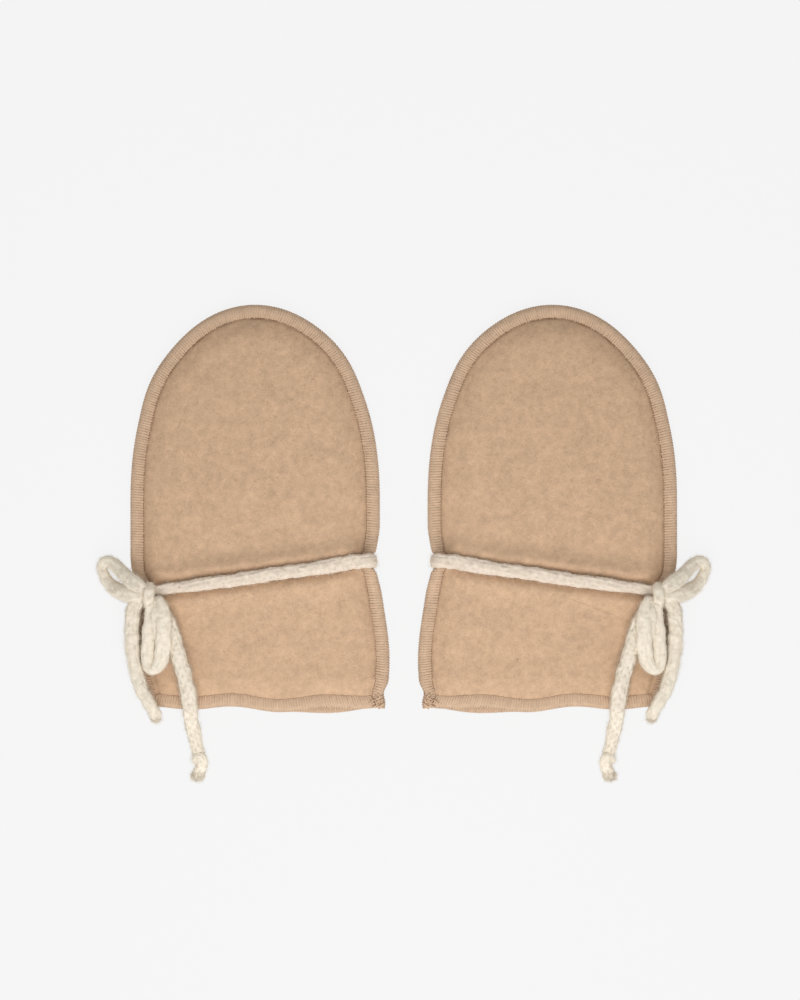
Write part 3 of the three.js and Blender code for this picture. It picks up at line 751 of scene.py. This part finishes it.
back_outer = ("back_under", HEM_THREAD_OUT, ROUNDED, -1)
back_inner = ("back_over", HEM_THREAD_IN, 0.0, 1)
front_inner = ("front_under", HEM_THREAD_IN, 0.0, -1)
front_outer = ("front_over", HEM_THREAD_OUT, ROUNDED, 1)
hems = [("back", back_outer, back_inner, 22), ("front", front_inner, front_outer, 23)]
for layer, below, above, seed in hems:
    shape, shade = stitches(along_hem(layer), below, above, seed, painted_end_shade=0.15)
    add(f"{layer}_hem_overlock", shape, overlock, shade, [f"{layer}_hem_overlock"])

# The darned end: where its threads lie, how they turn, run and bend, and how high they stand
DARNED_X, DARNED_Y, DARNED_COUNT, DARNED_STOPS, DARNED_HALF = (37.6, 41.2), (-63.4, -59.6), 16, 9, 0.24
DARNED_TURN, DARNED_TURN_SPREAD, DARNED_RUN, DARNED_BEND = 1.2, 1.2, (0.8, 1.7), 0.7
DARNED_INSET, DARNED_RISE, DARNED_DIP, DARNED_UNEVEN, DARNED_TINT = 0.3, 0.95, 0.9, 0.15, (-0.2, 0.4)


def corner_threads():
    """The overlock thread's own end, darned into the far corner of the wrist."""
    rng = np.random.default_rng(24)
    u = np.linspace(-1, 1, DARNED_STOPS)
    x = rng.uniform(*DARNED_X, DARNED_COUNT)[:, None]
    y = rng.uniform(*DARNED_Y, DARNED_COUNT)[:, None]
    turn = rng.uniform(-DARNED_TURN_SPREAD, DARNED_TURN_SPREAD, DARNED_COUNT)[:, None] + DARNED_TURN
    run = rng.uniform(*DARNED_RUN, DARNED_COUNT)[:, None] * u
    bend = rng.uniform(-DARNED_BEND, DARNED_BEND, DARNED_COUNT)[:, None] * u * u
    x, y = x + np.cos(turn) * run - np.sin(turn) * bend, y + np.sin(turn) * run + np.cos(turn) * bend
    side = np.maximum(side_inset(x, y), DARNED_INSET)
    hem = np.maximum(y - hem_line(x, "front"), DARNED_INSET)
    top = faces_at(x, y, side, hem, uneven=False)
    uneven = rng.uniform(-DARNED_UNEVEN, DARNED_UNEVEN, (DARNED_COUNT, 1))
    rise = DARNED_RISE - DARNED_DIP * np.abs(u) ** 3 + uneven
    path = np.stack([top["x"], top["y"], top["front_over"] + rise], -1)
    along = unit(np.gradient(path, axis=1))
    across = unit(np.stack([-along[..., 1], along[..., 0], 0 * along[..., 0]], -1))
    size = DARNED_HALF * np.ones((DARNED_COUNT, DARNED_STOPS))
    tint = rng.uniform(*DARNED_TINT, (DARNED_COUNT, 1, 1)) * np.ones((1, DARNED_STOPS, STITCH_SIDES))
    return tubes(path, across, size, size, STITCH_SIDES), tint.ravel()


shape, shade = corner_threads()
add("corner_threads", shape, overlock, shade)


# Cords


SPLINE_POINTS = 1500


def spline(rows, step):
    """A smooth line through rows of x, y, z and sizes, with points step apart along it."""
    rows = np.array(rows, float)
    chord = np.linalg.norm(np.diff(rows[:, :3], axis=0), axis=1) ** 0.5
    knots = np.concatenate([[0], np.cumsum(chord)])
    n = len(rows)
    h = np.diff(knots)
    system = np.eye(n)
    right = np.zeros((n, rows.shape[1]))
    for i in range(1, n - 1):
        system[i, i - 1 : i + 2] = h[i - 1], 2 * (h[i - 1] + h[i]), h[i]
        right[i] = 6 * ((rows[i + 1] - rows[i]) / h[i] - (rows[i] - rows[i - 1]) / h[i - 1])
    second = np.linalg.solve(system, right)
    fine = np.linspace(0, knots[-1], SPLINE_POINTS)
    i = np.clip(np.searchsorted(knots, fine, side="right") - 1, 0, n - 2)
    a, b = (knots[i + 1] - fine)[:, None], (fine - knots[i])[:, None]
    hi = h[i][:, None]
    line = (
        (second[i] * a**3 + second[i + 1] * b**3) / (6 * hi)
        + (rows[i] / hi - second[i] * hi / 6) * a
        + (rows[i + 1] / hi - second[i + 1] * hi / 6) * b
    )
    along = np.concatenate([[0], np.cumsum(np.linalg.norm(np.diff(line[:, :3], axis=0), axis=1))])
    count = max(4, int(round(along[-1] / step)) + 1)
    at = np.linspace(0, along[-1], count)
    return np.stack([np.interp(at, along, line[:, k]) for k in range(line.shape[1])], -1)


KNIT_STEP, KNIT_SIDES, WALES, ROW_PITCH = 0.3, 40, 10, 3.0
KNIT_DEPTH, HOLE_DEPTH, HOLE_ACROSS, HOLE_ALONG = 0.10, 0.22, 0.42, 0.3
LUMP_HIGH, LUMP_SIZE, SWELL_HIGH, SWELL_SIZE = 0.24, 2.0, 0.1, 8.0
# Painted shade in the valleys between the wales, in the holes between stitches, and in the grooves between
# the slanting rows
VALLEY_SHADE, HOLE_SHADE, ROW_SHADE = 0.1, 0.85, 0.12
ROW_SLANT = 0.8
FULL_KNIT_HALF, LEAST_END = 2.1, 0.02
FLATNESS = 0.9
SECTION_POWER = 0.78  # 1 makes the section an ellipse, less makes it squarer


def knitted(line, across=None, twist=0.0, phase=0.0, dots=0.3, oblique=0.35):
    """A knitted tube round a line of x, y, z, half width and half thickness, and its painted shade.

    dots is how strong the holes between stitches and their painted shade are, oblique how strong the slanting
    rows and their painted shade are.
    """
    centre, wide, thick = line[:, :3], line[:, 3], line[:, 4]
    along = unit(np.gradient(centre, axis=0))
    if across is None:
        across = unit(np.stack([-along[:, 1], along[:, 0], 0 * along[:, 0]], -1))
    up = unit(np.cross(along, across))
    run = np.concatenate([[0], np.cumsum(np.linalg.norm(np.diff(centre, axis=0), axis=1))])
    angle = 2 * np.pi * np.arange(KNIT_SIDES) / KNIT_SIDES
    sideways = np.sign(np.cos(angle)) * np.abs(np.cos(angle)) ** SECTION_POWER
    upward = np.sign(np.sin(angle)) * np.abs(np.sin(angle)) ** SECTION_POWER
    place = (angle[None] + twist * run[:, None] + phase) / (2 * np.pi) * WALES
    column = np.round(place)
    off = place - column
    along_row = (run[:, None] / ROW_PITCH + 0.5 * (column % 2) + 0.5) % 1 - 0.5
    hole = dots * bump(off / HOLE_ACROSS) * bump(along_row / HOLE_ALONG)
    valley = np.cos(2 * np.pi * off) * 0.5 + 0.5
    lean = np.cos(2 * np.pi * (2 * run[:, None] / ROW_PITCH + ROW_SLANT * np.abs(off)))
    grow = KNIT_DEPTH * (0.5 - valley + oblique * lean) - HOLE_DEPTH * hole
    grow = grow + LUMP_HIGH * undulation(run[:, None] + 31 * phase, 3.0 + 5.0 * np.cos(angle), LUMP_SIZE)
    grow = grow + SWELL_HIGH * undulation(run[:, None], 9.0 + phase, SWELL_SIZE)
    shade = VALLEY_SHADE * valley + HOLE_SHADE * hole + ROW_SHADE * oblique * (1 - lean)
    end = np.ones(len(line))
    for far, reach in ((run, wide[0]), (run[-1] - run, wide[-1])):
        end = np.minimum(end, np.sqrt(np.maximum(1 - (1 - clamp01(far / reach)) ** 2, LEAST_END)))
    squeeze = np.minimum(1.0, wide / FULL_KNIT_HALF)[:, None]
    half_wide = (wide[:, None] + grow * squeeze) * end[:, None]
    half_thick = (thick[:, None] + grow * squeeze) * end[:, None]
    points = (
        centre[:, None]
        + across[:, None] * (half_wide * sideways)[..., None]
        + up[:, None] * (half_thick * upward)[..., None]
    )
    rings, count = len(line), KNIT_SIDES
    fan = np.stack([np.zeros(count - 2, int), np.arange(1, count - 1), np.arange(2, count)], -1)
    triangles = np.concatenate([ring_triangles(rings, count), fan[:, ::-1], fan + (rings - 1) * count])
    points = points.reshape(-1, 3)
    return (points, facing_out(points, triangles)), shade.ravel()


def cord(rows):
    """Rows of x, y, z and full width as a line for knitted()."""
    line = spline(rows, KNIT_STEP)
    return np.column_stack([line[:, :3], line[:, 3] / 2, line[:, 3] / 2 * FLATNESS])


def fuzzed(name, shape, count, seed):
    """Fine fibres that stand off a cord."""
    fuzz = flat_fibres(*shape, count, seed, length=(0.8, 2.4), thick=0.028, lift=(0.1, 0.7))
    add(f"{name}_fuzz", above_surface(fuzz, LEAST_HEIGHT), knit_fuzz)


def frayed(name, shape, below, lean, count, seed):
    """Loose fibres that stick out of a cut end, from where the shape lies below y."""
    ends = shape[1][(shape[0][shape[1]][:, :, 1] < below).all(1)]
    loose = flat_fibres(shape[0], ends, count, seed, (1.0, 3.0), 0.03, (0.05, 0.6), lean)
    add(f"{name}_fray", above_surface(loose, LEAST_HEIGHT), knit_fuzz)


# Routes: x, y, z of the middle line and the full width of the cord


CORDS = {
    "bow_loop_upper": [
        (-33.4, -27.0, 10.8, 3.4),
        (-34.6, -26.3, 11.0, 4.0),
        (-36.5, -25.1, 10.8, 4.6),
        (-38.4, -23.7, 10.0, 4.9),
        (-41.0, -21.6, 8.0, 4.7),
        (-43.2, -19.7, 6.2, 4.2),
        (-44.9, -18.1, 4.8, 3.9),
        (-46.8, -17.1, 3.8, 3.7),
        (-48.6, -17.8, 3.2, 3.5),
        (-49.2, -19.5, 2.9, 3.4),
        (-48.3, -21.6, 3.0, 3.5),
        (-46.8, -23.9, 3.6, 3.9),
        (-45.1, -25.5, 4.6, 4.4),
        (-43.1, -26.5, 6.2, 4.8),
        (-40.8, -27.2, 8.0, 5.1),
        (-38.4, -27.6, 9.8, 5.0),
        (-36.4, -27.9, 10.8, 4.4),
        (-34.4, -27.9, 11.0, 3.6),
    ],
    "bow_loop_lower": [
        (-32.7, -28.4, 11.2, 3.4),
        (-32.2, -30.8, 11.3, 4.3),
        (-32.4, -33.8, 11.2, 4.6),
        (-32.8, -37.1, 10.8, 4.7),
        (-33.2, -41.2, 9.9, 4.7),
        (-33.6, -44.7, 9.0, 4.6),
        (-33.8, -47.6, 8.4, 4.6),
        (-33.4, -50.0, 8.2, 4.6),
        (-32.2, -51.1, 8.3, 4.6),
        (-30.7, -50.2, 8.9, 4.6),
        (-29.5, -47.8, 9.8, 4.8),
        (-28.9, -44.0, 11.0, 4.8),
        (-28.7, -40.0, 11.9, 4.9),
        (-28.7, -36.4, 12.2, 4.9),
        (-29.1, -32.8, 12.1, 4.6),
        (-30.0, -30.3, 11.8, 4.1),
        (-31.4, -28.4, 11.4, 3.4),
    ],
    "tail_short": [
        (-34.4, -28.0, 9.6, 3.4),
        (-36.3, -29.1, 9.3, 4.2),
        (-37.9, -31.2, 8.9, 4.6),
        (-38.7, -34.2, 8.6, 4.7),
        (-39.0, -38.6, 8.0, 4.6),
        (-38.8, -44.8, 7.6, 4.4),
        (-37.8, -51.5, 7.6, 4.2),
        (-35.7, -58.0, 8.3, 4.0),
        (-33.1, -62.6, 8.5, 3.8),
        (-31.7, -65.4, 8.0, 3.5),
        (-30.9, -67.8, 7.0, 3.1),
    ],
    "tail_long": [
        (-32.2, -28.6, 9.6, 3.4),
        (-30.2, -31.0, 9.2, 4.1),
        (-28.4, -34.2, 9.0, 4.6),
        (-26.8, -38.4, 8.9, 4.8),
        (-24.7, -45.0, 8.9, 4.9),
        (-22.8, -51.2, 9.1, 4.8),
        (-21.2, -57.6, 9.1, 4.7),
        (-20.5, -64.0, 8.3, 4.5),
        (-19.9, -69.5, 5.8, 4.4),
        (-19.0, -74.5, 3.2, 4.2),
        (-18.4, -77.4, 2.5, 3.8),
        (-18.0, -79.4, 2.3, 3.3),
        (-17.8, -81.4, 2.2, 2.8),
    ],
}
END_KNOT = [
    (-19.0, -81.6, 1.9, 2.6),
    (-18.7, -80.6, 2.9, 3.2),
    (-17.8, -80.0, 3.3, 3.6),
    (-17.1, -80.7, 3.2, 3.6),
    (-16.9, -81.9, 2.7, 3.5),
    (-17.2, -83.0, 2.0, 3.4),
    (-18.0, -84.3, 1.9, 3.6),
    (-18.5, -86.0, 1.8, 3.7),
    (-18.7, -87.2, 1.6, 3.2),
]
# Wool felted together between the two legs of the lower loop
LOOP_FELT = [
    (-31.2, -29.6, 11.4, 2.0),
    (-30.9, -31.4, 12.0, 3.2),
    (-30.7, -33.6, 12.2, 3.8),
    (-30.7, -36.5, 12.1, 3.8),
    (-30.8, -39.2, 11.5, 3.4),
    (-31.0, -41.4, 10.8, 2.6),
    (-31.2, -42.8, 10.2, 1.6),
]
KNOT_STRAND = [
    (-33.3, -24.6, 8.6, 2.6),
    (-33.2, -25.3, 10.4, 3.2),
    (-33.2, -26.4, 11.8, 3.5),
    (-33.3, -27.8, 12.3, 3.5),
    (-33.3, -29.2, 12.1, 3.5),
    (-33.3, -30.4, 11.4, 3.4),
    (-33.3, -31.2, 10.2, 2.8),
]


# The band round the wrist: x, half width and half thickness of its stops over and under the mitten
BAND_OVER = [
    (-33.2, 1.5, 1.5),
    (-30.6, 1.5, 1.5),
    (-26.5, 1.75, 1.55),
    (-22, 1.9, 1.65),
    (-16, 2.1, 1.75),
    (-9, 2.1, 1.75),
    (-1, 2.1, 1.75),
    (8, 2.1, 1.75),
    (16, 2.1, 1.75),
    (23, 2.15, 1.7),
    (28.5, 2.2, 1.6),
    (32.5, 2.3, 1.4),
]
BAND_UNDER_X, BAND_UNDER_SIZE = (33, 25, 13, 0, -13, -25, -32.5), (2.75, 1.15)

# Its two turns round the edge: how far out, height, half width and half thickness
BAND_FAR_TURN = [
    (-0.7, 8.9, 2.2, 1.25),
    (1.1, 7.3, 2.2, 1.2),
    (1.5, 5.0, 2.2, 1.2),
    (1.1, 2.6, 2.3, 1.2),
    (-0.4, 1.35, 2.6, 1.2),
]
BAND_BOW_TURN = [
    (-0.4, 1.35, 2.6, 1.2),
    (1.7, 2.6, 2.3, 1.3),
    (2.2, 5.0, 2.2, 1.35),
    (1.8, 6.9, 2.0, 1.4),
    (0.4, 8.6, 1.8, 1.4),
    (-2.2, 9.8, 1.5, 1.4),
]

# Where it comes out of the knot: x, and how far its first stops move in y and z
BAND_START = [(-34.0, -0.2, 1.4), (-31.4, -0.1, 0.7), (-27.0, 0.0, 0.0)]
BAND_SHADE, BAND_LEAST_HEIGHT, SEAM_RISE, UNDER_CLEAR = 0.16, 0.03, 0.75, 0.05
BAND_FUZZ, TURN_SLOPE = 4500, 0.07


def band_over(x, wide, thick):
    """A stop of the band on top of the front panel, where it bows up a little past the middle."""
    y = CORD_MIDDLE_Y + CORD_SLOPE * x + 0.35 * smooth((x + 5) / 10) + 0.3 * smooth((x - 24) / 10)
    side = side_inset(x, y)
    faces = faces_at(np.array([x]), np.array([y]), np.array([side]), np.array([y - HEM_Y]), uneven=False)
    seam = SEAM_RISE * (1 - pillow(side, 3))
    return faces["x"][0], faces["y"][0], faces["front_over"][0] + seam + CORD_CLEAR + thick, wide, thick


def band_under(x, wide, thick):
    """A stop of the band between the back panel and the surface."""
    y = CORD_MIDDLE_Y + CORD_SLOPE * x
    return drawn_in(np.array([x]), np.array([y]))[0], y, thick + UNDER_CLEAR, wide, thick


def band_turn(side, out, z, wide, thick):
    """A stop of the band beside the edge of the mitten."""
    x = side["sign"] * (PALM_HALF - side["pinch"] - side["notch"] + out)
    y = CORD_MIDDLE_Y + CORD_SLOPE * x + (TURN_SLOPE * z if side is FAR else 0)
    return x, y, z, wide, thick


def band_line():
    """The band's middle line, once round the mitten."""
    rows = [band_over(*stop) for stop in BAND_OVER]
    for i, (x, along, up) in enumerate(BAND_START):
        rows[i] = (x, rows[i][1] + along, rows[i][2] + up, *rows[i][3:])
    rows += [band_turn(FAR, *stop) for stop in BAND_FAR_TURN]
    rows += [band_under(x, *BAND_UNDER_SIZE) for x in BAND_UNDER_X]
    rows += [band_turn(BOW, *stop) for stop in BAND_BOW_TURN]
    return spline(rows, KNIT_STEP)


band = band_line()
level = np.repeat(CORD_ACROSS[None], len(band), 0)
band_shape, band_shade = knitted(band, across=level, twist=0.03, dots=0.6, oblique=0.5)
band_shape = above_surface(band_shape, BAND_LEAST_HEIGHT)
# BAND_SHADE adds painted shade over the whole band, for the darker, warm light it gets from the cloth beneath
# it.
add("cord_band", band_shape, shaded_band_knit, band_shade + BAND_SHADE, ["cord_band"])
fuzzed("cord_band", band_shape, BAND_FUZZ, seed=41)

FUZZ_PER_MM = 55
TAIL_DOTS, CORD_DOTS = 1.3, 0.35
lines = {}
for number, (name, rows) in enumerate(CORDS.items()):
    lines[name] = cord(rows)
    dots = TAIL_DOTS if name == "tail_long" else CORD_DOTS
    shape, shade = knitted(lines[name], twist=0.02, phase=0.5 * number, dots=dots)
    if name == "bow_loop_lower":
        felt, felt_shade = knitted(cord(LOOP_FELT), twist=0.02)
        shape, shade = joined(shape, felt), np.concatenate([shade, felt_shade])
    add(name, shape, knit, shade, [name])
    fuzzed(name, shape, int(FUZZ_PER_MM * len(lines[name]) * KNIT_STEP), seed=50 + number)
    if name == "tail_short":
        frayed(name, shape, below=-66.5, lean=(0.5, -1.4, 0.0), count=250, seed=72)

# KNOT_SHADE takes painted shade away from the knots, painting them lighter than the cords they are tied from.
KNOT_SHADE, KNOT_FUZZ = -0.25, 500
for name, rows, seed in (("tail_end_knot", END_KNOT, 74), ("bow_knot", KNOT_STRAND, 69)):
    shape, shade = knitted(cord(rows), phase=0.3)
    add(name, shape, knit, shade + KNOT_SHADE, [name])
    fuzzed(name, shape, KNOT_FUZZ, seed)
    if name == "tail_end_knot":
        frayed(name, shape, below=-84.0, lean=(-1.0, -1.6, 0.0), count=600, seed=71)


# Floor, light and camera, in metres

FLOOR_HALF, FLOOR_HEIGHT, FLOOR_GLOW, FLOOR_GREY = 3.0, -0.0001, 0.865, 0.05
WORLD_STRENGTH = 0.54
CAMERA_AT, CAMERA_LENS, CAMERA_SENSOR = (-0.0012, 0.00256, 0.894), 100, 36


def floor():
    """A plain surface that glows a little, so that it stays pale and shadows stay faint."""
    mesh = bpy.data.meshes.new("surface")
    corners = [(FLOOR_HALF * x, FLOOR_HALF * y, 0) for x, y in ((-1, -1), (1, -1), (1, 1), (-1, 1))]
    mesh.from_pydata(corners, [], [(0, 1, 2, 3)])
    surface = bpy.data.objects.new("surface", mesh)
    bpy.context.scene.collection.objects.link(surface)
    surface.location.z = FLOOR_HEIGHT
    material, _, shader = new_material("surface")
    shader.inputs["Base Color"].default_value = (FLOOR_GREY, FLOOR_GREY, FLOOR_GREY, 1)
    shader.inputs["Roughness"].default_value = 1.0
    shader.inputs["Specular IOR Level"].default_value = 0.0
    shader.inputs["Emission Color"].default_value = (1, 1, 1, 1)
    shader.inputs["Emission Strength"].default_value = FLOOR_GLOW
    mesh.materials.append(material)


def area_light(name, at, aim, size, power):
    data = bpy.data.lights.new(name, "AREA")
    data.shape = "SQUARE"
    data.size = size
    data.energy = power
    lamp = bpy.data.objects.new(name, data)
    bpy.context.scene.collection.objects.link(lamp)
    lamp.location = at
    lamp.rotation_mode = "QUATERNION"
    lamp.rotation_quaternion = (Vector(aim) - Vector(at)).to_track_quat("-Z", "Y")


def soft_world():
    world = bpy.data.worlds.new("studio")
    world.use_nodes = True
    background = world.node_tree.nodes["Background"]
    background.inputs["Color"].default_value = (1, 1, 1, 1)
    background.inputs["Strength"].default_value = WORLD_STRENGTH
    bpy.context.scene.world = world


def camera_above():
    camera = bpy.data.cameras.new("camera")
    camera.lens = CAMERA_LENS
    camera.sensor_width = CAMERA_SENSOR
    camera_object = bpy.data.objects.new("camera", camera)
    bpy.context.scene.collection.objects.link(camera_object)
    camera_object.location = CAMERA_AT
    bpy.context.scene.camera = camera_object


floor()
area_light("key", at=(0, -0.45, 0.5), aim=(0, 0, 0), size=0.4, power=2.3)
area_light("fill", at=(0, -0.09, 0.26), aim=(0, -0.06, 0), size=0.1, power=0.16)
soft_world()
camera_above()
bpy.context.scene.view_settings.view_transform = "Standard"
